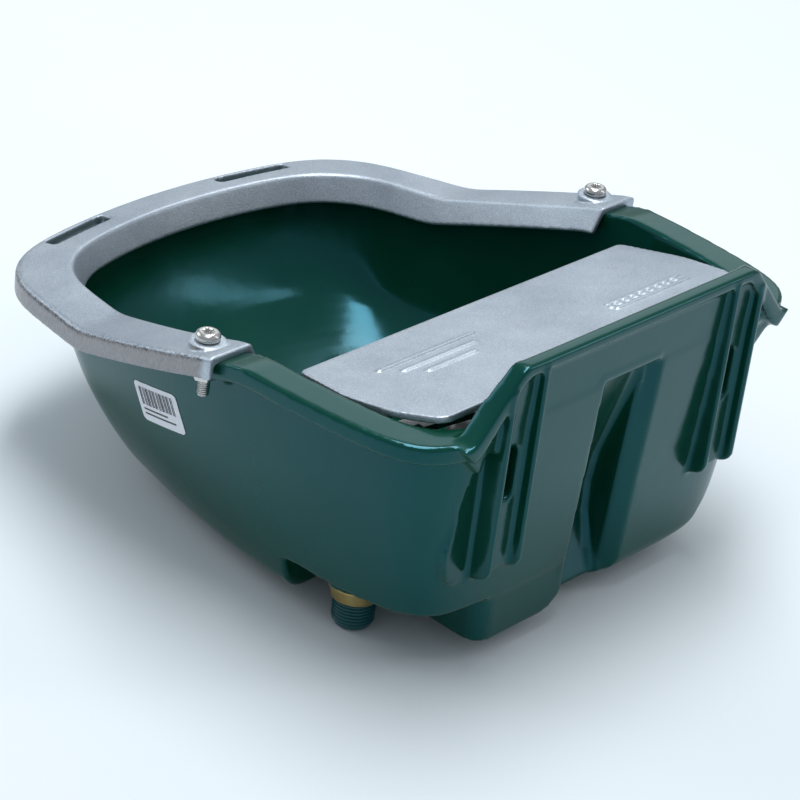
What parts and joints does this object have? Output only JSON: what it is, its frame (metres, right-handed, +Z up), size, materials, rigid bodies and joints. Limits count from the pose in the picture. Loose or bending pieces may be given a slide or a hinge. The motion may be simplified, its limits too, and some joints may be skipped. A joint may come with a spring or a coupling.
{
  "type": "livestock drinking bowl",
  "caption": "Wall-hung float-valve drinking bowl in moulded plastic with a cast rim guard and a hinged cast cover over the float chamber.",
  "frame": {"origin": "on the wall plane, midway between the two upright slots for the wall bolts", "axes": "+Y points into the wall, so the bowl stands out along -Y; +Z up; +X towards the water inlet"},
  "size_m": [0.304, 0.3313, 0.164],
  "materials": {
    "bowl_plastic": "glossy moulded dark green",
    "cast_aluminium": "sand-cast, outer edge linished",
    "stainless": "bright",
    "brass": "machined, dulled",
    "valve_plastic": "moulded teal",
    "float_plastic": "blow moulded",
    "rubber": "matt",
    "label": "printed paper"
  },
  "bodies": {
    "bowl": {"bowl_body": "bowl_plastic", "rim_guard": "cast_aluminium", "rim_screws": "stainless", "rim_washers": "stainless", "rim_nuts": "stainless", "cover_hinge_rod": "stainless", "hinge_rod_clips": "stainless", "inlet_stem": "valve_plastic", "inlet_strainer": "stainless", "stem_gasket": "rubber", "lock_nut": "brass", "valve_housing": "valve_plastic", "valve_nozzle": "brass", "lever_pin": "stainless", "lever_pin_clip": "stainless", "product_label": "label"},
    "cover": {"float_cover": "cast_aluminium"},
    "lever": {"lever_arm": "stainless", "float_rod": "stainless", "float_rod_nuts": "brass", "level_float": "float_plastic"},
    "plunger": {"plunger": "valve_plastic", "plunger_seal": "rubber"}
  },
  "joints": [
    {"name": "cover_hinge", "type": "hinge", "parent": "bowl", "child": "cover", "pos_m": [0, -0.0195, 0.024], "axis": [-1, 0, 0], "range_deg": [0, 75]},
    {"name": "float_lever", "type": "hinge", "parent": "bowl", "child": "lever", "pos_m": [0.084, -0.0705, -0.008], "axis": [0, 1, 0], "range_deg": [0, 13.7]},
    {"name": "plunger_slide", "type": "slide", "parent": "bowl", "child": "plunger", "axis": [0, 0, -1], "range_m": [0, 0.00335]}
  ],
  "couplings": [
    {"joint": "plunger_slide", "follows": "float_lever", "m_per_rad": 0.014}
  ]
}
